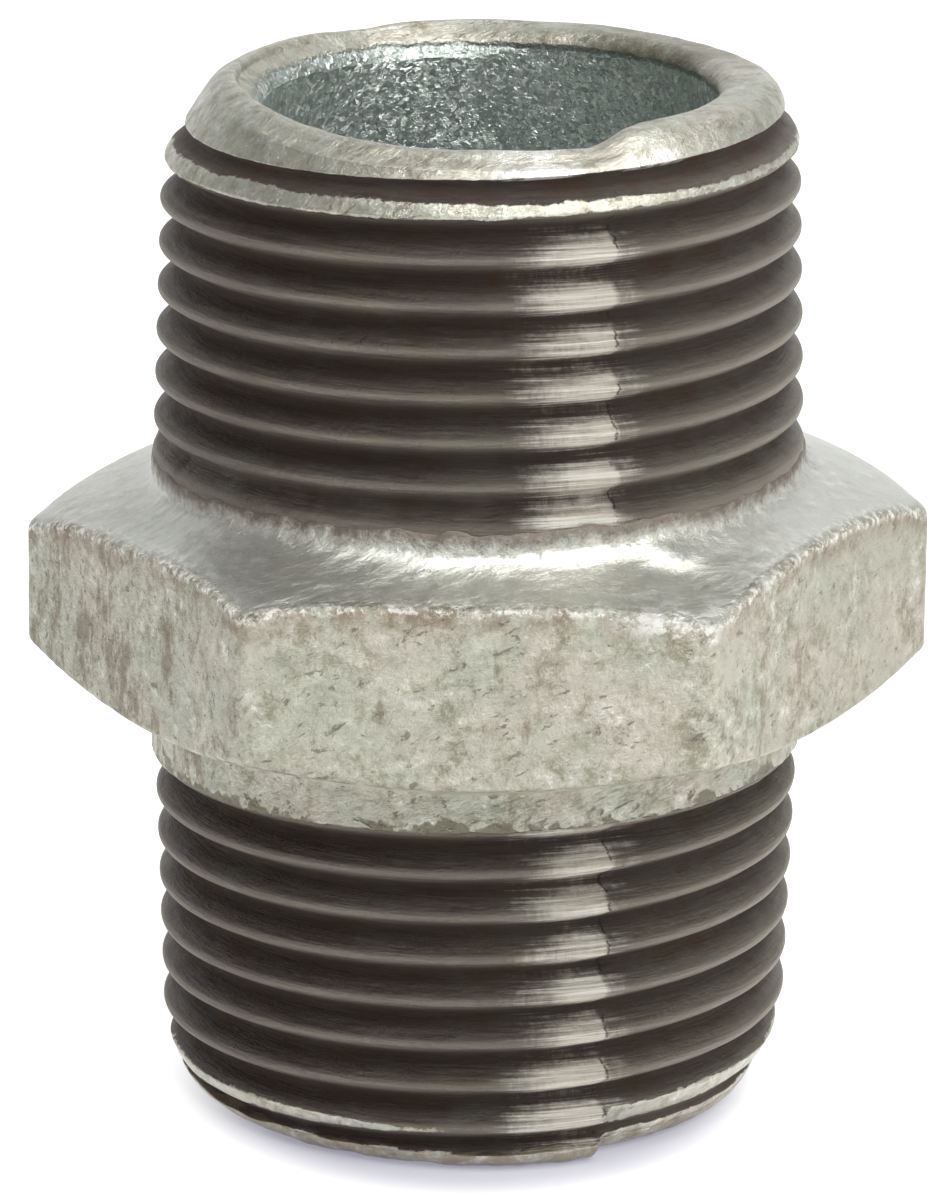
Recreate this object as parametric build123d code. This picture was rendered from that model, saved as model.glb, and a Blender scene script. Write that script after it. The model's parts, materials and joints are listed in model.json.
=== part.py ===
from build123d import *

import os
from math import atan, cos, degrees, radians, tan

os.makedirs("parts", exist_ok=True)

# Hex nipple for 1 inch steel pipe: a malleable-iron casting with a male R 1 taper thread at each end.
# It stands on its lower end. The origin is the centre of that end face, and +Z runs up the waterway.

# Driving dimensions, in millimetres
overall_length = 54.0
across_flats = 41.0
corner_rounding = 0.6       # radius on the six upright corners of the hexagon
corner_height = 6.3         # upright length of a sharp corner, between the two shoulder cones
shoulder_angle = 30.0       # slope of the shoulder cones, in degrees
neck_height = 1.0           # plain neck between each shoulder and its thread
bore_radius = 12.1          # clear waterway, measured on the zinc
rim_inner_rounding = 0.8    # radius where the bore meets an end face
rim_outer_rounding = 0.9    # radius where an end face meets the lead-in chamfer
rim_radius = 15.0           # corner of the end face and the chamfer, before rounding
lead_in_length = 2.3        # axial length of the chamfer at each end
lower_coat_reach = 0.9      # height to which the zinc covers the lower chamfer
upper_coat_reach = 2.3      # the same at the upper end
zinc = 0.1                  # thickness of the hot-dip coat

# Whitworth-form taper pipe thread, size R 1
pitch = 25.4 / 11
flank_angle = 27.5          # half of the 55 degree included angle
thread_depth = 0.640327 * pitch
flat_width = pitch / 6      # width of the flat that stands for a rounded crest or root
gauge_radius = 33.249 / 2   # major radius at the gauge plane
gauge_length = 10.4         # from the small end to the gauge plane
taper = 1 / 32              # growth of the radius along the axis, which is 1 in 16 on diameter
fade = 0.6 * pitch          # axial length in which a groove runs out of the surface
lower_groove = (1.9, 17.4)  # heights between which the lower groove has its full depth
upper_groove = (36.6, 50.4)
lower_crossing = 15.86      # a height at which the middle of the lower groove crosses the X axis
upper_crossing = 49.94

# Worked-out values
middle = overall_length / 2
small_end_radius = gauge_radius - gauge_length * taper
flat_radius = across_flats / 2
corner_radius = flat_radius / cos(radians(30))
shoulder_slope = tan(radians(shoulder_angle))
neck_radius = 17.0
thread_length = middle - corner_height / 2 - (corner_radius - neck_radius) * shoulder_slope - neck_height
plain_height = overall_length - 2 * thread_length


def major_radius(height):
    """Radius over the thread crests at a height, on either thread."""
    from_end = min(height, overall_length - height)
    return small_end_radius + from_end * taper


def upper_copy(shape):
    """The mirror image of a lower-end shape at the upper end."""
    return mirror(shape, about=Plane.XY.offset(middle))


def middle_body(skin):
    """Hexagon, shoulder cones and necks as one solid, cut back from the zinc surface by skin."""
    side = (flat_radius - skin) / cos(radians(30))
    prism = extrude(RegularPolygon(side, 6), plain_height)
    prism = Pos(0, 0, thread_length) * fillet(prism.edges().filter_by(Axis.Z), corner_rounding)
    neck = neck_radius - skin
    outside = corner_radius + 1
    corner_z = corner_height / 2 - skin / cos(radians(shoulder_angle))
    neck_z = corner_z + (corner_radius - neck) * shoulder_slope
    outside_z = corner_z - shoulder_slope
    right_side = [
        (neck, -plain_height / 2), (neck, -neck_z), (outside, -outside_z),
        (outside, outside_z), (neck, neck_z), (neck, plain_height / 2),
    ]
    outline = Polyline((0, -plain_height / 2), *right_side, (0, plain_height / 2), close=True)
    cones = Pos(0, 0, middle) * revolve(Plane.XZ * make_face(outline), Axis.Z)
    core = Pos(0, 0, thread_length) * extrude(Circle(neck), plain_height)
    return (prism & cones) + core


def rim_line(reach):
    """Zinc surface from the middle of the bore round the lower rim and up the chamfer to a height."""
    growth = (major_radius(lead_in_length) - rim_radius) / lead_in_length
    return FilletPolyline(
        (bore_radius, middle), (bore_radius, 0), (rim_radius, 0), (rim_radius + reach * growth, reach),
        radius=[rim_inner_rounding, rim_outer_rounding],
    )


def lining_half(reach):
    """Zinc on the lower half of the bore and round the lower rim, which stops at a height outside."""
    section = make_face(offset(rim_line(reach), amount=zinc, side=Side.LEFT, closed=True))
    return revolve(Plane.XZ * section, Axis.Z)


def end_blank():
    """Lower half of the nipple before threading: bored, with its rim, and straight at the thread crests."""
    rim = rim_line(lead_in_length)
    crest_end = (major_radius(thread_length), thread_length)
    outline = rim.edges() + [
        Line(rim @ 1, crest_end),
        Polyline(crest_end, (crest_end[0], middle), (bore_radius, middle)),
    ]
    return revolve(Plane.XZ * make_face(outline), Axis.Z)


def groove(low, high, low_radius, high_radius, crossing):
    """Cutter for one stretch of the thread groove between two heights, with the crest radius at each."""
    slope = (high_radius - low_radius) / (high - low)
    helix = Helix(pitch, high - low, low_radius, cone_angle=degrees(atan(slope)))
    stick_out = 0.15
    half_root = flat_width / 2
    half_top = half_root + (thread_depth + stick_out) * tan(radians(flank_angle))
    tooth = Plane(helix @ 0, x_dir=(1, 0, 0), z_dir=helix % 0) * Polygon(
        (stick_out, -half_top), (stick_out, half_top),
        (-thread_depth, half_root), (-thread_depth, -half_root), align=None,
    )
    turn = 360 * (low - crossing) / pitch
    return Pos(0, 0, low) * Rot(0, 0, turn) * sweep(tooth, path=helix, is_frenet=True)


def thread_cutters(full, crossing):
    """The whole groove of one thread: it fades in, holds its full depth, and fades out."""
    low, high = full
    out = thread_depth + 0.1
    return [
        groove(low - fade, low, major_radius(low) + out, major_radius(low), crossing),
        groove(low, high, major_radius(low), major_radius(high), crossing),
        groove(high, high + fade, major_radius(high), major_radius(high) + out, crossing),
    ]


def iron_casting(skins):
    """The iron, which is the nipple without its zinc skins and its two thread grooves."""
    waterway = extrude(Circle(bore_radius + zinc), overall_length)
    lower = end_blank()
    body = lower + upper_copy(lower) + (middle_body(zinc) - waterway)
    for skin in skins:
        body -= skin
    for cutter in thread_cutters(lower_groove, lower_crossing) + thread_cutters(upper_groove, upper_crossing):
        body -= cutter
    return body


zinc_coat_bore = lining_half(lower_coat_reach) + upper_copy(lining_half(upper_coat_reach))
zinc_coat_hexagon = middle_body(0) - middle_body(zinc)
nodes = {
    "iron_casting": iron_casting([zinc_coat_bore, zinc_coat_hexagon]),
    "zinc_coat_hexagon": zinc_coat_hexagon,
    "zinc_coat_bore": zinc_coat_bore,
}
for name, shape in nodes.items():
    print(name, len(shape.solids()), "solid,", round(shape.volume, 1), "mm3, valid", shape.is_valid)
    export_step(shape, f"parts/{name}.step")
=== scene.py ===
# %% [markdown]
# A hex nipple joins two threaded pipes. Each end screws into a fitting, and the hexagon in the middle
# takes the spanner. The iron is cast, dipped whole in molten zinc, and threaded last. So the threads
# are dark bare iron and everything the cutting die never touched still wears its zinc skin. The packed
# model comes first, as a fixed frame. Its box is kept.

import json
from math import pi, radians

import bpy
import numpy as np
from mathutils import Matrix, Vector


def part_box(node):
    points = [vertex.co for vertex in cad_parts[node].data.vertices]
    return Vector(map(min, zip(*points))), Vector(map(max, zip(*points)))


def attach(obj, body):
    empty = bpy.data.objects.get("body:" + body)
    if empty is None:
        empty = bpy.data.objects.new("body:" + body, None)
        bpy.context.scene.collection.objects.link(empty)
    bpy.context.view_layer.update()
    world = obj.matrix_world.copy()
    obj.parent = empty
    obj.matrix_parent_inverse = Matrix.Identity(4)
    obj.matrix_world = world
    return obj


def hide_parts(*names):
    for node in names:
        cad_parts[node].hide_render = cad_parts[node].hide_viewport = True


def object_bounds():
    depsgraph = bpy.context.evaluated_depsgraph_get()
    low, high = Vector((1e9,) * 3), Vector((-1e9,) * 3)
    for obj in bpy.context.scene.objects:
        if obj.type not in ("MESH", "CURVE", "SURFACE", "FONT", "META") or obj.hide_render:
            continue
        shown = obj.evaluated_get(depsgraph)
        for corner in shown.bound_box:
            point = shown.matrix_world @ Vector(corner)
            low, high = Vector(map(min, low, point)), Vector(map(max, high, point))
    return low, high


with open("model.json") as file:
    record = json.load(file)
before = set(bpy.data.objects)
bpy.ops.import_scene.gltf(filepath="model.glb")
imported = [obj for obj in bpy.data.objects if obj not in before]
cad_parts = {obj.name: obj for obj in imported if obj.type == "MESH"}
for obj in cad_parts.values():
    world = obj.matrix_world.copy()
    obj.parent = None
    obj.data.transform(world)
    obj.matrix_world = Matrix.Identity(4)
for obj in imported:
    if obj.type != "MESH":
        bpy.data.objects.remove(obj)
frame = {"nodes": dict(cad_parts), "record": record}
cad_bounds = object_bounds()
print("nodes in the frame:", sorted(frame["nodes"]))

# %% [markdown]
# Sizes come from the frame where it holds them: the height, the bore, the hexagon. The rest belongs to
# the thread standard, or to the way the zinc and the iron meet, and is named here. Shapes are worked
# out in millimetres, and turned into metres when a mesh is made.

# %% Driving sizes, in millimetres
METRE = 1000.0
overall_height = cad_bounds[1][2] * METRE
mounts = {mount["name"]: mount for mount in frame["record"]["mounts"]}
bore_radius = mounts["waterway"]["dims"]["r_mm"]
flat_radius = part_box("zinc_coat_hexagon")[1][1] * METRE
middle = overall_height / 2
zinc = 0.1                   # thickness of the zinc skin
pitch = 25.4 / 11            # one turn of the thread
thread_depth = 0.640327 * pitch
crest_arc = 0.137329 * pitch  # radius of the rounded crests and roots
taper = 1 / 32
small_end_radius = 33.249 / 2 - 10.4 * taper
neck_radius = 17.0
front = radians(-90)         # the side that faces the viewer
seam = radians(-65.5)        # parting line of the casting mould, front side
print("height", round(overall_height, 2), "bore radius", round(bore_radius, 2))
print("half the width across the flats", round(flat_radius, 2))

# %% [markdown]
# Cast and dipped metal is never smooth or regular. A small three-dimensional noise supplies the
# unevenness: random numbers on a cubic lattice, blended smoothly between the lattice points. It is
# seeded, so each run is the same, and because it is read at points in space it has no seam where the
# angle jumps from 180 to -180 degrees.

# %% Helpers for curves and unevenness
def ease(low, high, value):
    """0 below low, 1 above high, and a smooth rise between them."""
    t = np.clip((value - low) / (high - low), 0, 1)
    return t * t * (3 - 2 * t)


def hill(centre, half_width, value):
    """1 at the centre, falling smoothly to 0 half a width away."""
    return 1 - ease(0, half_width, np.abs(value - centre))


def soft_min(a, b, blend):
    """The smaller of two surfaces, with the edge where they meet rounded over."""
    h = np.clip(0.5 + 0.5 * (b - a) / blend, 0, 1)
    return b + (a - b) * h - blend * h * (1 - h)


def soft_max(a, b, blend):
    return -soft_min(-a, -b, blend)


def turned(angle, towards):
    """Angle measured from another one, between -180 and 180 degrees, in radians."""
    return (angle - towards + pi) % (2 * pi) - pi


def cloud(x, y, z, size, seed):
    """Smooth noise between -1 and 1, with lumps of about the given size."""
    lattice = np.random.default_rng(seed).uniform(-1, 1, (32, 32, 32))
    cells = [np.asarray(axis, float) / size for axis in np.broadcast_arrays(x, y, z)]
    low = [np.floor(c).astype(int) for c in cells]
    part = [c - f for c, f in zip(cells, low)]
    part = [p * p * (3 - 2 * p) for p in part]
    total = 0
    for corner in np.ndindex(2, 2, 2):
        weight = 1
        for p, c in zip(part, corner):
            weight = weight * (p if c else 1 - p)
        at = tuple((f + c) % 32 for f, c in zip(low, corner))
        total = total + weight * lattice[at]
    return total


def rough(x, y, z, size, seed):
    """Noise with two finer sets of lumps added, each half as high as the last."""
    total = 0
    for step in range(3):
        total = total + cloud(x, y, z, size / 2**step, seed + step) / 2**step
    return total / 1.5


sample = rough(np.arange(500.0), 0, 0, 3.0, 1)
print("unevenness runs from", round(sample.min(), 2), "to", round(sample.max(), 2))

# %% [markdown]
# Every piece here is a closed ring: a section that runs all the way round its material, turned about
# the waterway. So one builder makes all three. It takes a grid of points, with rows that follow the
# section and columns that go round, and joins each row and column to the next and the last to the
# first. The same grid gives the UV map, and the numbers that the materials read at each vertex, such as
# how deep it lies in the thread.

# %% Ring builder
def ring_mesh(name, x, y, z, marks):
    """A closed mesh from grids of coordinates in millimetres, with named values on its vertices."""
    rows, columns = x.shape
    index = np.arange(rows * columns).reshape(rows, columns)
    up = np.roll(index, -1, axis=0)
    corners = np.stack([index, np.roll(index, -1, axis=1), np.roll(up, -1, axis=1), up], axis=-1)
    corners = corners.reshape(-1, 4)
    mesh = bpy.data.meshes.new(name)
    mesh.vertices.add(rows * columns)
    mesh.vertices.foreach_set("co", (np.stack([x, y, z], axis=-1) / METRE).astype(np.float32).ravel())
    mesh.loops.add(corners.size)
    mesh.loops.foreach_set("vertex_index", corners.astype(np.int32).ravel())
    mesh.polygons.add(len(corners))
    mesh.polygons.foreach_set("loop_start", np.arange(0, corners.size, 4, dtype=np.int32))
    mesh.polygons.foreach_set("use_smooth", np.ones(len(corners), bool))
    row, column = np.divmod(np.arange(rows * columns), columns)
    across = np.stack([column, column + 1, column + 1, column], axis=-1) / columns
    along = np.stack([row, row, row + 1, row + 1], axis=-1) / rows
    layer = mesh.uv_layers.new(name="OFBake")
    layer.data.foreach_set("uv", np.stack([across, along], axis=-1).astype(np.float32).ravel())
    for mark, values in marks.items():
        kept = mesh.attributes.new(mark, "FLOAT", "POINT")
        kept.data.foreach_set("value", np.broadcast_to(values, x.shape).astype(np.float32).ravel())
    mesh.update(calc_edges=True)
    mesh.validate()
    piece = bpy.data.objects.new(name, mesh)
    bpy.context.scene.collection.objects.link(piece)
    at = np.stack([x, y, z], axis=-1).reshape(-1, 3)[corners]
    volume = sum((at[:, 0] * np.cross(at[:, i], at[:, i + 1])).sum() for i in (1, 2)) / 6
    print(name, "has", 2 * len(corners), "triangles and holds", round(volume, 1), "cubic mm")
    return piece


def columns_round(count, dense_at, repeats, strength):
    """Angles all the way round, closer together at dense_at and at each repeat of it."""
    even = np.arange(count) / count * 2 * pi
    return dense_at + even - strength / repeats * np.sin(repeats * even)


gaps = np.degrees(np.diff(columns_round(384, seam, 2, 0.3)))
print("columns are", round(gaps.min(), 2), "to", round(gaps.max(), 2), "degrees apart")

# %% [markdown]
# The thread is the standard's own curve: a 55 degree vee whose crests and roots are rounded to one
# small radius. How deep a point lies depends only on how far it is, along the axis, from the nearest
# crest, and the crests climb one pitch a turn. The nipple tapers, so each end starts smaller than it
# finishes.

# %% Thread form
half_vee = radians(27.5)
arc_reach = crest_arc * np.cos(half_vee)      # along the axis, from a crest to the start of its flank
arc_depth = crest_arc * (1 - np.sin(half_vee))
flank_slope = 1 / np.tan(half_vee)
lower_crest = 17.015 - 7 * pitch              # height of one crest where it passes over the X axis
upper_crest = 51.09 - 7 * pitch


def crest_radius(z):
    """Radius over the crests, on either thread."""
    return small_end_radius + np.minimum(z, overall_height - z) * taper


def turns(angle, z, crest):
    """Number of the crest that a point is on, with a fraction for how far it is towards the next."""
    return (z - crest) / pitch - angle / (2 * pi)


def vee(turn):
    """Depth below the crests, in millimetres, at a fraction of a turn."""
    off = np.abs(turn - np.round(turn)) * pitch
    to_root = pitch / 2 - off
    near_crest = crest_arc - np.sqrt(np.clip(crest_arc**2 - off**2, 0, None))
    near_root = thread_depth - crest_arc + np.sqrt(np.clip(crest_arc**2 - to_root**2, 0, None))
    flank = arc_depth + (off - arc_reach) * flank_slope
    return np.where(off < arc_reach, near_crest, np.where(to_root < arc_reach, near_root, flank))


def helix_line(angle, height, jump_at, jump_width):
    """Height of a line that climbs with the thread, and drops back by a pitch just before jump_at.
    It passes the front at the given height."""
    after = (angle - jump_at) % (2 * pi)
    climb = after / (2 * pi)
    climb = climb - ease(2 * pi - jump_width, 2 * pi, after)
    at_front = ((front - jump_at) % (2 * pi)) / (2 * pi)
    return height + pitch * (climb - at_front)


print("thread depth", round(thread_depth, 3), "radius over the small end", round(small_end_radius, 3))

# %% [markdown]
# Both rims are as cast, and castings are never true. The upper rim is thin on its left side, worn
# hollow towards the bore, and dented in front. At the lower rim the halves of the mould stood a little
# apart, which left a step at the seam. Each fault is a smooth function of angle and height, so the iron
# and the zinc on it can share them and still fit each other.

# %% Shape of the rims
chamfer_radius = 15.0        # at the end face
chamfer_slope = 1.4 / 3.1    # growth of that radius along the axis
thin_side = 1.5              # how much smaller the upper rim is on its thin side, the left
mismatch = 0.8               # step at the lower rim, where the right half of the mould sat further in
centre_of_rim = 13.4         # radius at the middle of the end face


def thin(angle, z):
    """How far a rim stands in from a true circle, at its outer edge."""
    upper = thin_side * ((1 - np.cos(angle - radians(20))) / 2) ** 1.3
    from_seam = turned(angle, seam)
    lower = mismatch * ease(-0.01, 0.05, from_seam) * (1 - ease(1.2, 2.0, from_seam))
    lower = lower - 0.45 * hill(-0.3, 0.7, from_seam) * (1 - ease(-0.01, 0.05, from_seam))
    return np.where(z > middle, upper, lower)


def lining_reach(angle, z):
    """How far from the end face the lining comes down the chamfer, to where the thread first cuts it."""
    upper = overall_height - helix_line(angle, 51.95, radians(150), radians(50))
    x, y = 15 * np.cos(angle), 15 * np.sin(angle)
    return np.where(z > middle, upper, 1.0 + 0.22 * rough(x, y, 0, 1.5, 71))


def chamfer(angle, z):
    """Radius of the casting's chamfered ends before the thread was cut."""
    from_end = np.minimum(z, overall_height - z)
    askew = thin(angle, z) * np.maximum(0, 1 - 0.14 * from_end)
    return chamfer_radius + from_end * chamfer_slope - askew


def rim_wear(angle, r, z):
    """How far an end face is worn back. It slopes down into the bore, and in front it is dented."""
    hollow = 1 - ease(radians(-64), radians(-50), angle) * (1 - ease(radians(70), radians(95), angle))
    slope = (0.04 + 0.40 * hollow) * np.clip(centre_of_rim + 0.7 - r, 0, 2.2)
    dent = 0.85 * ease(radians(-175), radians(-105), angle) * (1 - ease(radians(-68), radians(-56), angle))
    dent = dent + 0.16 * hill(radians(118), radians(12), angle)
    wear = np.where(z > middle, slope + dent, 0.12 * np.clip(centre_of_rim - r, 0, 2))
    return wear * (1 - ease(0.6, 1.8, np.minimum(z, overall_height - z)))


print("deepest wear of the upper rim", round(rim_wear(front, centre_of_rim, overall_height).max(), 2))

# %% [markdown]
# The die cut the thread into a blank that was not quite round. Rows of the mesh are closer together on
# crests and in roots, where the surface turns sharply. They follow the thread by shifting with the
# angle, and the shift repeats each turn, so the grid still closes. Left of the seam the die barely
# touched the crests, and left them flat and torn; the material paints them pale, partly as a highlight.
# The last function gives the radius, and also how deep each point is, how much casting skin is left on
# it and how flattened it is, for the materials.

# %% Where the die cut
def thread_rows(low, high, crest, angle):
    """Heights of the rows over one thread, a grid of rows by columns, 14 rows to a pitch."""
    count = int(round((high - low) / pitch * 14))
    even = np.linspace(low, high, count)[:, None]
    turn = turns(angle, even, crest)
    inside = hill(0.5, 0.5, (even - low) / (high - low)) ** 0.5
    crowding = 0.55 * np.minimum(1, 6 * inside)
    return even - crowding * np.sin(4 * pi * turn) * pitch / (4 * pi)


def flattened(angle, z):
    """How flattened the crests are: up to 1 on the left of either seam, less just past it, 0 elsewhere."""
    from_seam = np.where(np.cos(angle - seam) > 0, turned(angle, seam), turned(angle, seam + pi))
    wander = 0.05 * cloud(np.cos(angle) * 9, np.sin(angle) * 9, z, 1.4, 30)
    past = ease(-0.012, 0.012, from_seam + 0.3 * wander)
    patch = ease(-0.42, -0.10, from_seam + wander) * (1 - past)
    patch = patch + 0.45 * past * (1 - ease(0.02, 0.16, from_seam + wander))
    return patch * (1 - ease(49.3, 49.9, z))


def cut_surface(angle, z, crest, fade):
    """Radius of the threaded outside, depth below the crests, share of casting skin, and share of
    flattening. fade is the share of the groove's full depth."""
    x, y = 16 * np.cos(angle), 16 * np.sin(angle)
    over_crests = crest_radius(z)
    flat = flattened(angle, z)
    turned_blank = over_crests + 0.02 * cloud(x, y, z, 3, 12)
    turned_blank = turned_blank - flat * (0.16 + 0.12 * cloud(x, y, z, 1.6, 31))
    cast_blank = chamfer(angle, z) + 0.06 * rough(x, y, z, 2.5, 14)
    start = ease(0.3, 1.5, z + 0.25 * cloud(x, y, 0, 1.5, 72))
    vee_depth = vee(turns(angle, z, crest)) * np.where(z < middle, start, 1)
    torn_sides = 0.035 * rough(x, y, z, 1.1, 11) * ease(0.2, 1.2, vee_depth)
    groove = over_crests - fade * vee_depth + torn_sides
    radius = soft_min(groove, soft_min(turned_blank, cast_blank, 0.25), 0.05)
    skin = ease(-0.12, 0.22, np.minimum(groove, turned_blank) - cast_blank)
    return radius, over_crests - radius, skin, flat


print("the upper thread is cut to full depth for", round((overall_height - 36.6) / pitch, 1), "turns")

# %% [markdown]
# The iron casting is the body of the nipple. Its outside runs from one rim to the other: chamfer,
# thread, neck, then the hexagon, where it hides under the zinc, and the same again. Its inside is the
# bore wall, hidden too. Where the lining covers an end, the iron is pulled in by more than the
# thickness of the zinc, so the two never show through each other.

# %% Iron casting
thread_start = 0.45          # the rows of the outside begin this far from the end faces


def column(*values):
    """Numbers set one above the other, to pair with a row of angles."""
    return np.array(values, float)[:, None]


def iron_grid():
    """Grids of angle, radius and height, and the marks for the material."""
    angle = columns_round(384, seam, 2, 0.3)[None, :]
    parts = []

    def add(z, radius, depth, skin, flat):
        z = np.broadcast_to(z, (z.shape[0], angle.shape[1]))
        parts.append([np.broadcast_to(a, z.shape) for a in (radius, z, depth, skin, flat)])

    lower = thread_rows(thread_start, 19.4, lower_crest, angle)
    x, y = 16 * np.cos(angle), 16 * np.sin(angle)
    lower_fade = 1 - ease(18.3, 19.5, lower + 0.2 * cloud(x, y, lower, 1.0, 21))
    radius, depth, skin, flat = cut_surface(angle, lower, lower_crest, lower_fade)
    under_collar = ease(18.9, 19.3, lower)     # the last rows hide under the zinc
    add(lower, radius + under_collar * (neck_radius - 2.5 * zinc - radius), depth, skin, flat)
    add(column(21.4, 22.9, 31.2, 32.9), column(16.6, 19.0, 19.9, 16.6), 0.0, 1.0, 0.0)
    upper = thread_rows(33.2, overall_height - thread_start, upper_crest, angle)
    torn = 0.16 * rough(x, y, upper, 1.6, 22) + 0.10 * cloud(x * 2, y * 2, upper * 0.3, 0.7, 23)
    upper_fade = ease(34.2, 36.6, upper + torn) ** 0.8
    radius, depth, skin, flat = cut_surface(angle, upper, upper_crest, upper_fade)
    in_fillet = 1 - ease(33.2, 33.6, upper)    # and so do the first ones of the upper thread
    add(upper, radius + in_fillet * (neck_radius - 2.5 * zinc - radius), depth, skin, flat)
    hidden = bore_radius + 3 * zinc
    top = overall_height - 4 * zinc
    add(column(top, top, top - 1.0, 40, middle, 14, 1.4, 4 * zinc, 4 * zinc),
        column(12.9, 12.8, hidden, hidden, hidden, hidden, hidden, 13.3, 14.5), 0.0, 1.0, 0.0)
    radius, z, depth, skin, flat = (np.concatenate([part[i] for part in parts]) for i in range(5))
    from_end = np.minimum(z, overall_height - z)
    reach = lining_reach(np.broadcast_to(angle, z.shape), z)
    on_outside = radius > 12.7
    radius = radius - 2 * zinc * (1 - ease(reach - 0.16, reach - 0.02, from_end)) * on_outside
    worn = rim_wear(turned(angle, 0), radius, z) * (from_end < reach)
    z = z - worn * np.sign(z - middle)
    return np.broadcast_to(angle, z.shape), radius, z, {"depth": depth, "skin": skin, "flat": flat}


angle, radius, z, marks = iron_grid()
iron = ring_mesh("iron_casting_surface", radius * np.cos(angle), radius * np.sin(angle), z, marks)

# %% [markdown]
# The hexagon's zinc is the skin that the spanner touches. Molten zinc runs into corners and off edges,
# so its shape is a hexagon with every edge melted: six flats and two cones, blended with a soft
# minimum, which takes the smaller radius and rounds over the edge between the two. A soft maximum adds
# the necks, with a hollow fillet at the upper shoulder. The cones were cast out of true: the upper one
# is higher on the right, and flatter in front. A knock has pushed the top of one corner over.

# %% Surface of the hexagon's zinc
corner_radius = flat_radius / np.cos(radians(30))
upper_half_corner = 3.15     # upright length of a corner above the middle
lower_half_corner = 3.55     # and below it
upper_cone_slope = np.tan(radians(21.2))
front_cone_slope = np.tan(radians(15))
lower_cone_slope = np.tan(radians(19.5))


def flats(angle):
    """Radius of the hexagon, its corners rounded."""
    sides = [flat_radius / np.maximum(np.cos(turned(angle, radians(60 * k + 30))), 0.3) for k in range(6)]
    ordered = np.sort(np.stack(sides), axis=0)
    return soft_min(ordered[0], ordered[1], 0.7)


def hexagon_surface(angle, z):
    """Radius of the zinc at an angle and height, with the lumps that dipping left."""
    x, y = 21 * np.cos(angle), 21 * np.sin(angle)
    side = flats(angle) + 0.045 * rough(x, y, z, 5.0, 41) - 0.03
    about = turned(angle, 0)
    facing = ((1 - np.sin(angle)) / 2) ** 3    # 1 in front, 0 at the back
    raised = 1.2 * ((1 + np.cos(angle)) / 2) ** 3
    raised = raised + 0.45 * facing + 0.8 * hill(radians(-124), radians(32), about)
    lifted = 0.15 * np.abs(np.cos(angle)) - 0.27 * facing
    upper_slope = upper_cone_slope + (front_cone_slope - upper_cone_slope) * facing
    upper_cone = corner_radius - (z - middle - upper_half_corner - raised) / upper_slope
    lower_cone = corner_radius - (middle - lower_half_corner + lifted - z) / lower_cone_slope
    melted = 0.06 * rough(x, y, z, 2.6, 44)
    knock = hill(radians(-58), radians(8), about)
    melted = melted + knock * (0.9 * hill(33.3, 0.9, z) - 1.1 * hill(31.9, 1.0, z))
    at_corner = ease(21.5, 23.5, side)
    radius = soft_min(side, upper_cone + melted, 0.6 + 1.2 * at_corner)
    radius = soft_min(radius, lower_cone + melted, 0.5 + 0.6 * at_corner)
    fillet = np.where(z > middle, 0.8 + 2.8 * facing, 0.5)
    neck = neck_radius + 0.03 * rough(x, y, z, 1.3, 47)
    return soft_max(radius, neck, fillet)


print("a corner stands", round(float(hexagon_surface(0.0, middle)), 2), "mm out from the axis")

# %% [markdown]
# The skin's outer side runs from one torn edge to the other, with its rows closer together where it
# bends, and its columns closer together at the six corners. Its inner side is the same surface, a
# little more than one coat inside. Four distances are kept for the material: how far a point is off the
# flats, below their upper edge, and from either torn edge.

# %% Zinc on the hexagon
collar_height = 18.75        # lower edge of the zinc in front
upper_edge_height = 34.45    # upper edge of the zinc in front


def hexagon_grid():
    """Grids of angle, radius and height."""
    angle = columns_round(560, 0.0, 6, 0.5)[None, :]
    x, y = 17 * np.cos(angle), 17 * np.sin(angle)
    low = np.minimum(helix_line(angle, collar_height, radians(120), radians(60)), 19.15)
    low = low + 0.10 * rough(x, y, 0, 1.0, 51) - 0.05
    high = helix_line(angle, upper_edge_height, radians(150), radians(60)) * 0.6 + upper_edge_height * 0.4
    high = high + 0.22 * rough(x, y, 0, 1.4, 54)
    stretches = (0, 0.05, 8), (0.05, 0.24, 34), (0.24, 0.80, 44), (0.80, 1.0, 46)
    steps = [np.linspace(start, end, rows, endpoint=end == 1.0) for start, end, rows in stretches]
    steps = np.concatenate(steps)[:, None]
    z = low + (high - low) * steps
    radius = hexagon_surface(angle, z)
    inner_z = z[::-6]
    inner = hexagon_surface(angle, inner_z) - zinc * 1.5
    radius[0] -= 0.05
    radius[-4:] -= column(0.01, 0.03, 0.06, 0.10)
    radius, z = np.concatenate([radius, inner]), np.concatenate([z, inner_z])
    return np.broadcast_to(angle, z.shape), radius, z


angle, radius, z = hexagon_grid()
below_flat = flats(angle) - radius
top_of_flat = np.where(below_flat < 0.15, z, 0).max(axis=0)
far_off = 9.0                # stands for any distance too long to matter
marks = {"cone": ease(0.1, 0.6, below_flat), "brow": np.where(z > middle, top_of_flat - z, far_off),
         "top_edge": z.max(axis=0) - z, "low_edge": z - z.min(axis=0)}
hexagon = ring_mesh("zinc_hexagon_surface", radius * np.cos(angle), radius * np.sin(angle), z, marks)

# %% [markdown]
# The last skin lines the waterway and turns out over both rims. Its section is drawn once for each end:
# down the chamfer, round an arc, across the end face, round a second arc, and along the bore.

# %% Section of the lining
inner_round = 1.0            # of the edge where the bore meets the end face
outer_round = 1.3            # of the edge where the chamfer does


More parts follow.
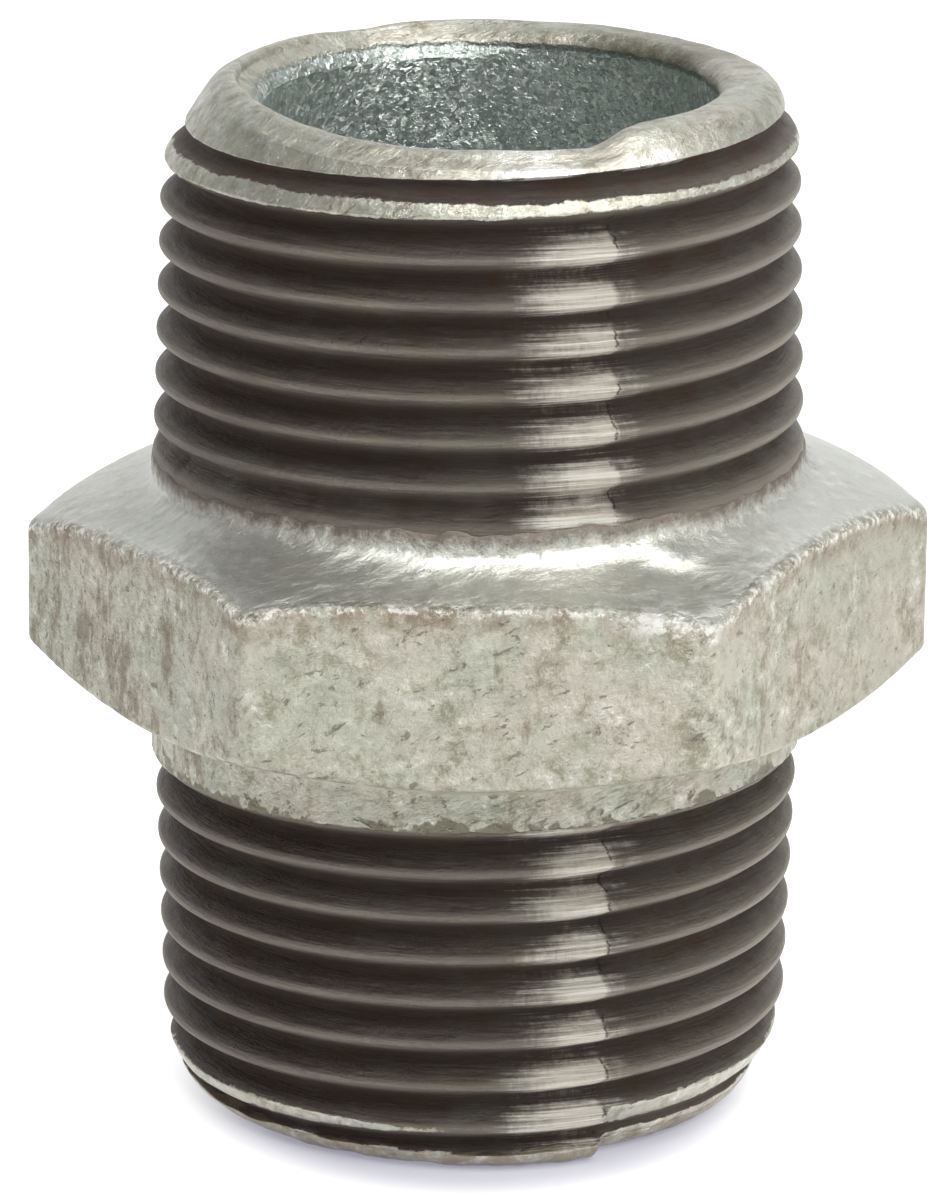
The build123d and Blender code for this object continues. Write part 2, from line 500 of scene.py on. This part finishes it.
def half_section(angle, upper):
    """Grids of radius and height, from the chamfer, round the rim, to the middle of the bore."""
    chamfer_angle = np.arctan(chamfer_slope)
    centre_r = chamfer_radius + outer_round * chamfer_slope - outer_round / np.cos(chamfer_angle)
    side = overall_height if upper else 0.0
    reach = lining_reach(angle, side)
    down = np.linspace(1.0, 0.0, 26 if upper else 8)[:-1, None]
    start = outer_round * (1 - np.sin(chamfer_angle))
    height = [start + (reach - start) * down]
    radius = [chamfer_radius + height[0] * chamfer_slope]
    inner_r = bore_radius + inner_round

    def add(r, h):
        radius.append(np.broadcast_to(np.array(r)[:, None], (len(r), angle.shape[1])))
        height.append(np.broadcast_to(np.array(h)[:, None], (len(h), angle.shape[1])))

    sweep = np.linspace(-chamfer_angle, -pi / 2, 9)
    add(centre_r + outer_round * np.cos(sweep), outer_round + outer_round * np.sin(sweep))
    add(np.linspace(centre_r, inner_r, 14)[1:-1], np.zeros(12))
    turn_in = np.linspace(-pi / 2, -pi, 9)
    add(inner_r + inner_round * np.cos(turn_in), inner_round + inner_round * np.sin(turn_in))
    add(np.full(43, bore_radius), inner_round + (middle - inner_round) * np.linspace(0, 1, 44)[1:] ** 1.2)
    return np.concatenate(radius), np.concatenate(height)


points = len(half_section(column(front), True)[0])
print("from the chamfer to the middle of the bore the section has", points, "points")

# %% [markdown]
# Each point of the section is pushed along its own normal by the unevenness of the casting, and the
# rims get the same faults as the iron below them. Where the first turn of the thread bites into the
# chamfer, the skin stops at the cut, so it is held to the radius of the threaded outside.

# %% Zinc in the bore and round the rims
def lining_grid():
    """Grids of angle, radius and height, and the marks for the material."""
    angle = columns_round(384, seam, 2, 0.3)[None, :]
    about = turned(angle, 0)
    low_r, low_z = half_section(angle, False)
    up_r, up_z = half_section(angle, True)
    r = np.concatenate([low_r, up_r[::-1][1:]])
    z = np.concatenate([low_z, overall_height - up_z[::-1][1:]])
    step_r, step_z = np.gradient(r, axis=0), np.gradient(z, axis=0)
    length = np.hypot(step_r, step_z)
    normal_r, normal_z = -step_z / length, step_r / length
    x, y = r * np.cos(angle), r * np.sin(angle)
    from_end = np.minimum(z, overall_height - z)
    at_mouth = 1 - ease(1.0, 16.0, from_end)
    in_bore = ease(13.2, 12.2, r)
    lumps = 0.05 * rough(x, y, z, 1.8, 61) + 0.06 * cloud(x, y, z, 4.0, 64) - 0.06
    lumps = lumps + 0.10 * rough(x, y, z, 1.2, 67) * (z < 2) * ease(14.0, 14.8, r)
    left = ((1 - np.cos(angle)) / 2) ** 3
    askew = -in_bore * at_mouth * (0.08 + 0.75 * left + 0.08 * cloud(x, y, 0, 3, 66))
    inside_share = ease(bore_radius, centre_of_rim + 1.0, r) * np.maximum(0, 1 - 0.14 * from_end)
    out_r = r + lumps * normal_r + askew - inside_share * thin(angle, z)
    worn = rim_wear(about, r, z)
    out_z = z + lumps * normal_z + np.where(z > middle, -worn, worn)
    out_z = np.where(from_end < 1.2, np.clip(out_z, 0.0, overall_height), out_z)
    on_chamfer = (r > centre_of_rim + 0.8) & (from_end < 4)
    low_cut = cut_surface(angle, out_z, lower_crest, 1.0)
    up_cut = cut_surface(angle, out_z, upper_crest, 1.0)
    cut, depth, skin, flat = (np.where(out_z < middle, a, b) for a, b in zip(low_cut, up_cut))
    down_chamfer = ease(0.35, 0.75, from_end) * on_chamfer
    bitten = np.where(on_chamfer, np.minimum(out_r, cut + 0.02), out_r)
    bitten = bitten + down_chamfer * (cut + 0.02 - bitten)
    keep = np.arange(len(r))[::-8]
    radius = np.concatenate([bitten, (bitten - 1.5 * zinc * normal_r)[keep]])
    height = np.concatenate([out_z, (out_z - 1.5 * zinc * normal_z)[keep]])
    marks = {"skin": np.where(on_chamfer, skin, 1.0), "depth": np.where(on_chamfer, depth, 0.0),
             "flat": np.where(on_chamfer, flat, 0.0)}
    marks = {mark: np.concatenate([value, value[keep]]) for mark, value in marks.items()}
    marks = {mark: value[::-1] for mark, value in marks.items()}
    return np.broadcast_to(angle, radius.shape), radius[::-1], height[::-1], marks


angle, radius, z, marks = lining_grid()
lining = ring_mesh("zinc_lining_surface", radius * np.cos(angle), radius * np.sin(angle), z, marks)

# %% [markdown]
# Materials are written as sums. This small class wraps one socket of a material's node tree. Adding,
# subtracting or multiplying two of them adds the Math node that does it. Colours go through Mix nodes
# and positions through Vector Math instead, because a Math node would turn them grey. Everything else
# comes from one method, add, which makes any node.

# %% The shader workbench
class Wire:
    """One socket of a node tree, used like a number."""

    def __init__(self, tree, socket=None):
        self.tree = tree
        self.socket = socket

    def add(self, kind, settings=None, inputs=None, output=0):
        """Add a node: first its settings, then the values or links of its sockets. Gives one output."""
        node = self.tree.nodes.new(kind)
        for name, value in (settings or {}).items():
            setattr(node, name, value)
        for name, value in (inputs or {}).items():
            if isinstance(value, Wire):
                self.tree.links.new(value.socket, node.inputs[name])
            else:
                node.inputs[name].default_value = value
        return Wire(self.tree, node.outputs[output] if len(node.outputs) else None)

    def math(self, operation, *values):
        return self.add("ShaderNodeMath", {"operation": operation}, dict(enumerate(values)))

    def __add__(self, other):
        return self.math("ADD", self, other)

    def __sub__(self, other):
        return self.math("SUBTRACT", self, other)

    def __rsub__(self, other):
        return self.math("SUBTRACT", other, self)

    def __mul__(self, other):
        return self.math("MULTIPLY", self, other)

    __radd__ = __add__
    __rmul__ = __mul__

    def least(self, other):
        return self.math("MINIMUM", self, other)

    def most(self, other):
        return self.math("MAXIMUM", self, other)

    def rise(self, low, high):
        """0 below low, 1 above high, smooth between. With low above high it falls."""
        return self.add("ShaderNodeMapRange", {"interpolation_type": "SMOOTHSTEP"},
                        {"Value": self, "From Min": low, "From Max": high})

    def blend(self, colour_at_0, colour_at_1):
        """The colour between two others, where this wire is the share of the second."""
        ends = {0: self, 6: opaque(colour_at_0), 7: opaque(colour_at_1)}
        return self.add("ShaderNodeMix", {"data_type": "RGBA"}, ends, output=2)

    def vector(self, operation, other, output="Vector"):
        return self.add("ShaderNodeVectorMath", {"operation": operation}, {0: self, 1: other}, output)

    def stretch(self, x, y, z):
        """This position, multiplied along each axis."""
        return self.vector("MULTIPLY", (x, y, z))

    def length(self):
        """Distance of this position from the origin."""
        return self.add("ShaderNodeVectorMath", {"operation": "LENGTH"}, {0: self}, "Value")

    def axis(self, letter):
        """X, Y or Z of this position."""
        return self.add("ShaderNodeSeparateXYZ", None, {0: self}, letter)

    def noise(self, scale, detail=3.0, roughness=0.55, distortion=0.0):
        """Cloudy noise at this position, around 0.5."""
        inputs = {"Vector": self, "Scale": scale, "Detail": detail, "Roughness": roughness}
        return self.add("ShaderNodeTexNoise", None, {**inputs, "Distortion": distortion})

    def cells(self, scale, output):
        """The nearest of many scattered points: its position, or a colour of its own."""
        return self.add("ShaderNodeTexVoronoi", {"feature": "F1"}, {"Vector": self, "Scale": scale}, output)

    def bump(self):
        """A normal tilted by this wire as a height, in units of 0.3 mm."""
        return self.add("ShaderNodeBump", None, {"Height": self, "Distance": 0.0003, "Strength": 1.0})


def opaque(colour):
    """A colour with its alpha, unless it is a wire already."""
    return colour if isinstance(colour, Wire) else (*colour, 1.0)


def stored(mm, mark):
    """A number that the mesh keeps at each vertex."""
    return mm.add("ShaderNodeAttribute", {"attribute_name": mark}, output="Fac")


def new_material(name):
    """An empty material, and a wire with the position on the object in millimetres."""
    material = bpy.data.materials.new(name)
    material.use_nodes = True
    tree = material.node_tree
    tree.nodes.clear()
    place = Wire(tree).add("ShaderNodeTexCoord", output="Object")
    return material, place.stretch(METRE, METRE, METRE)


def surface(material, wire, **sockets):
    """Finish a material with one Principled shader, and say how many nodes it took."""
    inputs = {key.replace("_", " "): value for key, value in sockets.items()}
    shader = wire.add("ShaderNodeBsdfPrincipled", None, inputs)
    wire.add("ShaderNodeOutputMaterial", None, {"Surface": shader})
    print(material.name, "is made of", len(wire.tree.nodes), "nodes")


# %% [markdown]
# Old hot-dip zinc is pale and dull. Seen close up it is a patchwork: greenish and tan clouds,
# fine dark pits, brown stains on the left, and pale grains, which are painted glints. It is written as a
# function, because the iron needs it too, where scraps of zinc are left on the thread.

# %% Zinc finish
def zinc_finish(mm, smooth, clean):
    """Colour, roughness, metallic share and height of zinc at a position in millimetres. smooth is 1
    where the zinc ran freely, 0 where it lies on rough casting. clean is 1 where it has no stains."""
    broken = 1 - mm.math("MULTIPLY", smooth, 0.80)
    stained = 1 - mm.math("MULTIPLY", clean, 0.80)
    tint = mm.noise(0.22, 4).rise(0.36, 0.64).blend((0.515, 0.52, 0.43), (0.575, 0.54, 0.455))
    tint = mm.math("MULTIPLY", clean, 0.7).blend(tint, (0.68, 0.69, 0.64))
    regions = mm.noise(0.30, 3, 0.6).rise(0.35, 0.65)
    mottle = mm.noise(1.0, 9, 0.80, 0.2)
    dull = mottle.rise(0.54, 0.38) * (0.45 + 0.60 * regions) * stained
    colour = dull.blend(tint, (0.30, 0.285, 0.205))
    # Painted glints: pale grains that catch the light.
    colour = (mottle.rise(0.53, 0.64) * 0.8 * regions).blend(colour, (0.88, 0.87, 0.79))
    slant = {"Vector": mm, "Rotation": (radians(38), radians(-60), 0)}
    slanted = mm.add("ShaderNodeVectorRotate", {"rotation_type": "EULER_XYZ"}, slant)
    slanted = slanted.stretch(1.0, 1.0, 0.4)
    ridges = slanted.noise(1.1, 6, 0.72, 0.3)
    specks = slanted.noise(1.6, 4, 0.66, 0.3).rise(0.60, 0.68) * stained
    colour = (specks * 0.75).blend(colour, (0.17, 0.155, 0.11))
    west = mm.axis("X").rise(-9.0, -17.0)
    stain = (mm.stretch(1.0, 1.0, 0.45).noise(0.45, 8, 0.78) + 0.07 * west).rise(0.55, 0.67) * stained
    colour = (stain * 0.7).blend(colour, (0.23, 0.185, 0.12))
    grain = mm.noise(2.4, 6, 0.72, 0.3)
    roughness = 0.21 + 0.12 * broken + 0.12 * grain + 0.14 * stain
    metallic = 0.82 - 0.4 * stain - 0.3 * specks
    height = broken * (grain * 0.45 + ridges * 1.5 - 0.3 * specks) + 0.02 * grain
    height = mm.noise(0.45, 2, 0.5) * 0.5 + height
    return colour, roughness, metallic, height


print("the skin is", zinc, "mm thick, so its fine pits are left to the material")

# %% [markdown]
# On the hexagon the finish changes from place to place. The upper cone is where the zinc ran freely, so
# it is smooth and mirrors the light in soft ripples. Glints are painted along the upper edge of the
# flats and round a knocked corner, with brown dirt just below that edge. The flats on the right are
# painted darker, as shade. The torn edge at the upper neck fades into dirty iron, and the lower collar
# is chipped. The distances kept on the mesh say where each of these belongs.

# %% Zinc of the hexagon, with its dirt and chips
def hexagon_material():
    material, mm = new_material("hot_dip_zinc")
    cone, brow, top_edge, low_edge = (stored(mm, mark) for mark in ("cone", "brow", "top_edge", "low_edge"))
    height_up = mm.axis("Z")
    upper = height_up.rise(25.0, 28.0)
    ran_freely = cone * (0.1 + 0.9 * upper)
    colour, roughness, metallic, height = zinc_finish(mm, ran_freely, ran_freely)
    ripples = mm.stretch(0.22, 0.22, 0.8).noise(1.0, 2, 0.5)
    height = height + 0.6 * cone * upper * ripples
    east = mm.axis("X")
    # Painted shade: the flats on the right are darkened.
    colour = (east.rise(11.0, 18.0) * (1 - cone) * 0.20).blend(colour, (0.30, 0.27, 0.19))
    clumps = mm.noise(0.75, 4, 0.58, 0.3)
    under_brow = brow.rise(-0.1, 0.25) * brow.rise(1.7, 0.3) * mm.noise(0.9, 5, 0.75).rise(0.38, 0.60)
    colour = (under_brow * 0.65).blend(colour, (0.26, 0.185, 0.125))
    # Painted highlights: glints along the upper edge of the flats, and more round the knocked corner.
    knock_glints = east.rise(5.0, 9.5) * east.rise(12.5, 11.5)
    glints = brow.rise(0.55, 0.1) * brow.rise(-0.55, -0.1) * mm.noise(2.4, 5, 0.75).rise(0.47, 0.60)
    knock_glints = knock_glints * brow.rise(1.3, 0.5) * brow.rise(-0.9, -0.3)
    glints = glints.most(knock_glints * mm.noise(0.9, 4, 0.7).rise(0.44, 0.52))
    colour = (glints * 0.85).blend(colour, (0.95, 0.94, 0.88))
    crease = cone.rise(0.15, 0.45) * cone.rise(0.85, 0.5) * (1 - upper)
    crease = crease * mm.noise(0.7, 4, 0.6).rise(0.35, 0.55)
    colour = (crease * 0.6).blend(colour, (0.20, 0.165, 0.10))
    fine = mm.noise(1.5, 6, 0.75)
    faded = (top_edge - 2.0 * (fine - 0.30)).rise(0.75, -0.45)
    colour = (faded * 0.92).blend(colour, (0.17, 0.135, 0.105))
    roughness = roughness + 0.25 * faded
    chips = (low_edge - 5.0 * (clumps - 0.43)).rise(0.15, -0.25)
    colour = (chips * 0.85).blend(colour, (0.19, 0.175, 0.12))
    height = height - 0.5 * chips - 0.4 * faded
    surface(material, mm, Base_Color=colour, Roughness=roughness, Metallic=metallic, Normal=height.bump())
    return material


hot_dip_zinc = hexagon_material()

# %% [markdown]
# The cut iron is dark, with a film of old cutting oil. Crests are worn clean and grey, roots hold
# brown dirt, and the tool left fine lines along the groove. The depth below the crests is stored on the
# mesh, so the colour follows it. Towards the right the iron is painted paler, as light. Flattened crests
# are pale and scratched along the cut: bare metal that is partly a painted highlight, with painted glint
# streaks along the scratches. The seam of the mould is a thin dark crack across the thread.

# %% Cut iron finish
def iron_finish(mm, depth, flat):
    """Colour, roughness, metallic share and height of threaded iron, from its depth below the crests
    and its flattening."""
    east = mm.axis("X")
    north = mm.axis("Y")
    along = mm.stretch(0.30, 0.30, 6.0).noise(1.0, 7, 0.78)
    blotch = mm.noise(0.35, 5, 0.65)
    grit = mm.noise(2.8, 5, 0.7)
    on_crest = (depth + 0.5 * along).rise(0.50, 0.28)
    metal = along.rise(0.30, 0.72).blend((0.105, 0.085, 0.074), (0.225, 0.19, 0.162))
    metal = (mm.noise(0.22, 4, 0.6).rise(0.48, 0.68) * 0.55).blend(metal, (0.215, 0.215, 0.165))
    # Painted light: the iron is made paler towards the right.
    metal = (east.rise(2.0, 13.0) * 0.45).blend(metal, (0.31, 0.29, 0.235))
    film = (depth + 1.1 * blotch).rise(0.75, 1.75)
    colour = (film * 0.65).blend(metal, (0.075, 0.055, 0.046))
    rust = (depth + 0.8 * mm.noise(0.6, 5, 0.7)).rise(1.1, 1.5) * blotch.rise(0.48, 0.6)
    colour = (rust * 0.5).blend(colour, (0.115, 0.070, 0.045))
    colour = (on_crest * 0.40 * (0.5 + grit)).blend(colour, (0.36, 0.325, 0.275))
    strokes = mm.stretch(3.2, 3.2, 0.5).noise(1.0, 5, 0.75)
    lines = mm.stretch(0.10, 0.10, 8.0).noise(1.0, 5, 0.72)
    # Flattened crests: bare pale metal, partly a painted highlight, with painted glint streaks along the
    # cut.
    wear_and_highlight = flat * depth.rise(1.9, 0.3)
    wear_and_highlight = wear_and_highlight + 0.7 * (strokes - 0.5) + 1.8 * (lines - 0.5) + 0.9 * (blotch - 0.5)
    wear_and_highlight = wear_and_highlight.rise(0.15, 1.05) * flat.rise(0.02, 0.4)
    bare_and_glints = lines.rise(0.42, 0.64).blend((0.66, 0.61, 0.51), (0.97, 0.94, 0.85))
    colour = (wear_and_highlight * 0.95).blend(colour, bare_and_glints)
    wander = mm.stretch(0.3, 0.3, 1.1).noise(1.0, 4, 0.75)
    off_seam = east * float(np.sin(seam)) - north * float(np.cos(seam)) + (wander - 0.5)
    crack = off_seam.math("ABSOLUTE", off_seam).rise(0.09, 0.03) * mm.noise(0.8, 3, 0.6).rise(0.46, 0.54)
    colour = (crack * 0.7).blend(colour, (0.05, 0.04, 0.03))
    roughness = 0.38 + 0.16 * film + 0.18 * grit
    metallic = 1 - 0.65 * wear_and_highlight - 0.2 * film
    height = along + grit * 0.7 + wear_and_highlight * strokes * 0.6 - 0.5 * crack
    return colour, roughness, metallic, height


print("the groove is", round(thread_depth, 2), "mm deep, which is where the dirt is darkest")

# %% [markdown]
# Near the rims the die did not reach all of the casting, and scraps of zinc are left on the crests. The
# share of skin that is kept on the mesh, roughened by noise, chooses between the two finishes. The same
# mixture serves the lining, which meets the iron there.

# %% Iron with scraps of zinc
def skin_over_iron(mm):
    """Zinc where the casting's skin is left and cut iron elsewhere, with the same four results."""
    scrap = (stored(mm, "skin") + 1.9 * (mm.noise(1.2, 6, 0.75) - 0.5)).rise(0.36, 0.60)
    depth = stored(mm, "depth")
    flat = stored(mm, "flat")
    iron_colour, iron_roughness, iron_metallic, iron_height = iron_finish(mm, depth, flat)
    zinc_colour, zinc_roughness, zinc_metallic, zinc_height = zinc_finish(mm, 0.80, 0.20)
    colour = scrap.blend(iron_colour, zinc_colour)
    roughness = scrap * zinc_roughness + (1 - scrap) * iron_roughness
    metallic = scrap * zinc_metallic + (1 - scrap) * iron_metallic
    height = scrap * (zinc_height + 0.3) + (1 - scrap) * 0.75 * iron_height
    return colour, roughness, metallic, height


def iron_material():
    material, mm = new_material("cut_iron")
    colour, roughness, metallic, height = skin_over_iron(mm)
    surface(material, mm, Base_Color=colour, Roughness=roughness, Metallic=metallic, Normal=height.bump())
    return material


cut_iron = iron_material()

# %% [markdown]
# In the bore the zinc froze slowly into small crystals, each with its face turned its own way, so it
# glitters. Scattered cells give each crystal a random tilt and brightness, and the brightest are
# painted nearly white as glints. Round the rims it looks like the other zinc instead, with two painted
# highlights in front, darker on the far right, and darker and browner towards the lower end face.

# %% Zinc in the bore
def lining_material():
    material, mm = new_material("zinc_in_the_bore")
    height_up = mm.axis("Z")
    from_end = height_up.least(overall_height - height_up)
    outside = (from_end + 0.5 * (mm.noise(1.2, 4, 0.7) - 0.5)).rise(1.15, 0.80)
    off_axis = mm.stretch(1.0, 1.0, 0.0).length()
    outside = outside.most(off_axis.rise(13.0, 13.4))
    colour, roughness, metallic, height = skin_over_iron(mm)
    east = mm.axis("X")
    north = mm.axis("Y")
    # Painted highlights: two bright patches on the front of the upper rim, which are also less rough.
    highlight_spots = east.rise(-2.0, 2.0) * east.rise(6.5, 3.0)
    highlight_spots = highlight_spots + east.rise(5.5, 8.0) * east.rise(11.5, 9.0) * height_up.rise(53.3, 52.7)
    wear_and_highlight = highlight_spots * north.rise(-8.0, -10.0) * height_up.rise(50.0, 51.0)
    wear_and_highlight = (wear_and_highlight * 0.5 + 1.6 * (mm.stretch(1.0, 1.0, 0.6).noise(0.7, 6, 0.75) - 0.5)).rise(0.22, 0.62)
    colour = (wear_and_highlight * 0.85).blend(colour, (0.95, 0.94, 0.89))
    roughness = roughness - 0.08 * wear_and_highlight
    shaded = east.rise(3.0, 9.0) * north.rise(2.0, 7.0) * mm.noise(0.7, 6, 0.75).rise(0.25, 0.60)
    colour = (shaded * 0.80).blend(colour, (0.20, 0.175, 0.12))
    # Darker and browner towards the lower end face.
    browner_near_foot = height_up.rise(2.6, 1.2) * mm.noise(0.9, 6, 0.75).rise(0.36, 0.56)
    colour = (browner_near_foot * 0.65).blend(colour, (0.30, 0.235, 0.15))
    bent = mm.vector("ADD", mm.noise(1.4, 3, 0.6))
    crystal = bent.cells(4.2, "Color")
    off_heart = bent.vector("SUBTRACT", bent.cells(4.2, "Position"))
    tilt = crystal.vector("SUBTRACT", (0.5, 0.5, 0.5))
    facet = off_heart.vector("DOT_PRODUCT", tilt, "Value")
    shine = crystal.axis("X")
    inside = shine.rise(0.0, 1.0).blend((0.42, 0.48, 0.445), (0.64, 0.70, 0.65))
    # The brightest crystals are painted nearly white, as glints.
    inside = (shine.rise(0.90, 0.97) * 0.7).blend(inside, (0.95, 0.97, 0.93))
    colour = outside.blend(inside, colour)
    height = outside * height + (1 - outside) * (facet * 1.5 + mm.noise(2.2, 5, 0.7) * 0.35)
    surface(material, mm, Base_Color=colour, Roughness=roughness, Metallic=metallic, Normal=height.bump())
    return material


zinc_in_bore = lining_material()

# %% [markdown]
# Each surface gets its material, follows the part's one body, and takes the place of its plain node.

# %% Put the materials on the pieces
for piece, material, node, slot in (
    (iron, cut_iron, "iron_casting", "cut_iron"),
    (hexagon, hot_dip_zinc, "zinc_coat_hexagon", "hot_dip_zinc"),
    (lining, zinc_in_bore, "zinc_coat_bore", "hot_dip_zinc"),
):
    piece.data.materials.append(material)
    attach(piece, "root")
    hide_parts(node)
    print(piece.name, "stands for", node)

# %% [markdown]
# The nipple stands on white paper, which is a very large floor. The paper glows by itself, so it stays
# evenly white, and only a soft bluish shade, painted round the foot and a little to the front, shows
# where the nipple rests.

# %% Floor
floor_mesh = bpy.data.meshes.new("floor")
floor_mesh.from_pydata([(-3, -3, 0), (3, -3, 0), (3, 3, 0), (-3, 3, 0)], [], [(0, 1, 2, 3)])
floor = bpy.data.objects.new("floor", floor_mesh)
bpy.context.scene.collection.objects.link(floor)
floor_material, mm = new_material("white_paper")
from_foot = mm.vector("ADD", (0.0, 1.5, 0.0)).stretch(1.08, 0.9, 1.0).length()
lit = from_foot.rise(13.0, 17.8).blend((0.30, 0.30, 0.37), (1.0, 1.0, 1.0))
surface(floor_material, mm, Base_Color=(0.45, 0.45, 0.46, 1.0), Roughness=0.9, Emission_Color=lit,
        Emission_Strength=0.88)
floor_mesh.materials.append(floor_material)

# %% [markdown]
# Metal shows what is around it, so the surroundings matter more than the lamps. They are bright behind
# the nipple, which gives the threads pale outlines, and dim on the viewer's side, which keeps their
# faces dark. Overhead hangs a pale card, to be mirrored in the upper cone. A viewer who looks past the
# nipple sees plain white instead.

# %% Surroundings
world = bpy.data.worlds.new("studio")
bpy.context.scene.world = world
world.use_nodes = True
world.node_tree.nodes.clear()
sky = Wire(world.node_tree)
direction = sky.add("ShaderNodeTexCoord", output="Generated")
east = direction.axis("X")
north = direction.axis("Y")
up = direction.axis("Z")
bearing = east.math("ARCTAN2", east, north)          # from straight behind, positive to the right
behind = bearing.rise(-0.92, -0.80) * bearing.rise(0.66, 0.54)
right_side = bearing.rise(0.5, 0.65) * bearing.rise(2.35, 2.0)
overhead = up.rise(0.50, 0.60)
card = bearing.rise(-0.30, 0.05) * bearing.rise(0.9, 0.5) * up.rise(1.0, 0.97)
around = 0.07 + behind * 0.88 + right_side * 0.32
glow = overhead * (0.16 + 0.82 * card) + (1 - overhead) * around
seen = sky.add("ShaderNodeLightPath", output="Is Camera Ray")
strength = seen * 1.2 + (1 - seen) * glow
background = sky.add("ShaderNodeBackground", None, {"Color": (0.97, 0.985, 1.0, 1.0), "Strength": strength})
sky.add("ShaderNodeOutputWorld", None, {"Surface": background})
print("the surroundings are made of", len(world.node_tree.nodes), "nodes")

# %% [markdown]
# Three softboxes light the nipple. The one in front, on the right, lights the flattened crests and the
# rim, where bright patches are also painted. The high one makes the highlight on the upper cone. The one
# on the left is weak, and only lifts the shaded flats.

# %% Softboxes
lamp_distance = 0.6          # metres


def softbox(name, azimuth, elevation, width, height, radiance):
    """A rectangular lamp aimed at the middle of the nipple. Azimuth 0 is the viewer's side, positive to
    the right. Seen directly, it is as bright as radiance, where 1 is white paper."""
    aim = Vector((0, 0, middle / METRE))
    flat_angle, rise_angle = radians(azimuth), radians(elevation)
    away = Vector((np.sin(flat_angle), -np.cos(flat_angle), 0)) * np.cos(rise_angle)
    away.z = np.sin(rise_angle)
    lamp = bpy.data.lights.new(name, "AREA")
    lamp.shape = "RECTANGLE"
    lamp.size = width
    lamp.size_y = height
    lamp.energy = radiance * pi * width * height
    holder = bpy.data.objects.new(name, lamp)
    holder.location = aim + away * lamp_distance
    holder.rotation_euler = away.to_track_quat("Z", "Y").to_euler()
    bpy.context.scene.collection.objects.link(holder)
    print(name, "gives", round(lamp.energy, 2), "watts")


softbox("front_softbox", 35, 39, 0.50, 0.26, 5.9)
softbox("high_softbox", 32, 72, 0.50, 0.26, 5.0)
softbox("left_softbox", -60, 35, 0.30, 0.30, 0.6)
bpy.context.scene.view_settings.view_transform = "Standard"

# %% [markdown]
# The camera stands well back with a long lens, so the picture has little perspective, and looks
# slightly down into the bore. It was held a little crooked, half a degree, which is kept.

# %% Camera
elevation = radians(16.58)
roll = radians(0.54)
camera_distance = 0.3735     # metres
aim_point = Vector((-0.413, 0.0, 25.95)) / METRE
lens = bpy.data.cameras.new("camera")
lens.lens = 214.2
lens.sensor_width = 36.0
lens.clip_start = 0.01
camera = bpy.data.objects.new("camera", lens)
backward = Vector((0, -np.cos(elevation), np.sin(elevation)))
camera.location = aim_point + backward * camera_distance
tilt = backward.to_track_quat("Z", "Y").to_matrix() @ Matrix.Rotation(roll, 3, "Z")
camera.rotation_euler = tilt.to_euler()
bpy.context.scene.collection.objects.link(camera)
bpy.context.scene.camera = camera
print("the camera is at", [round(value, 3) for value in camera.location])
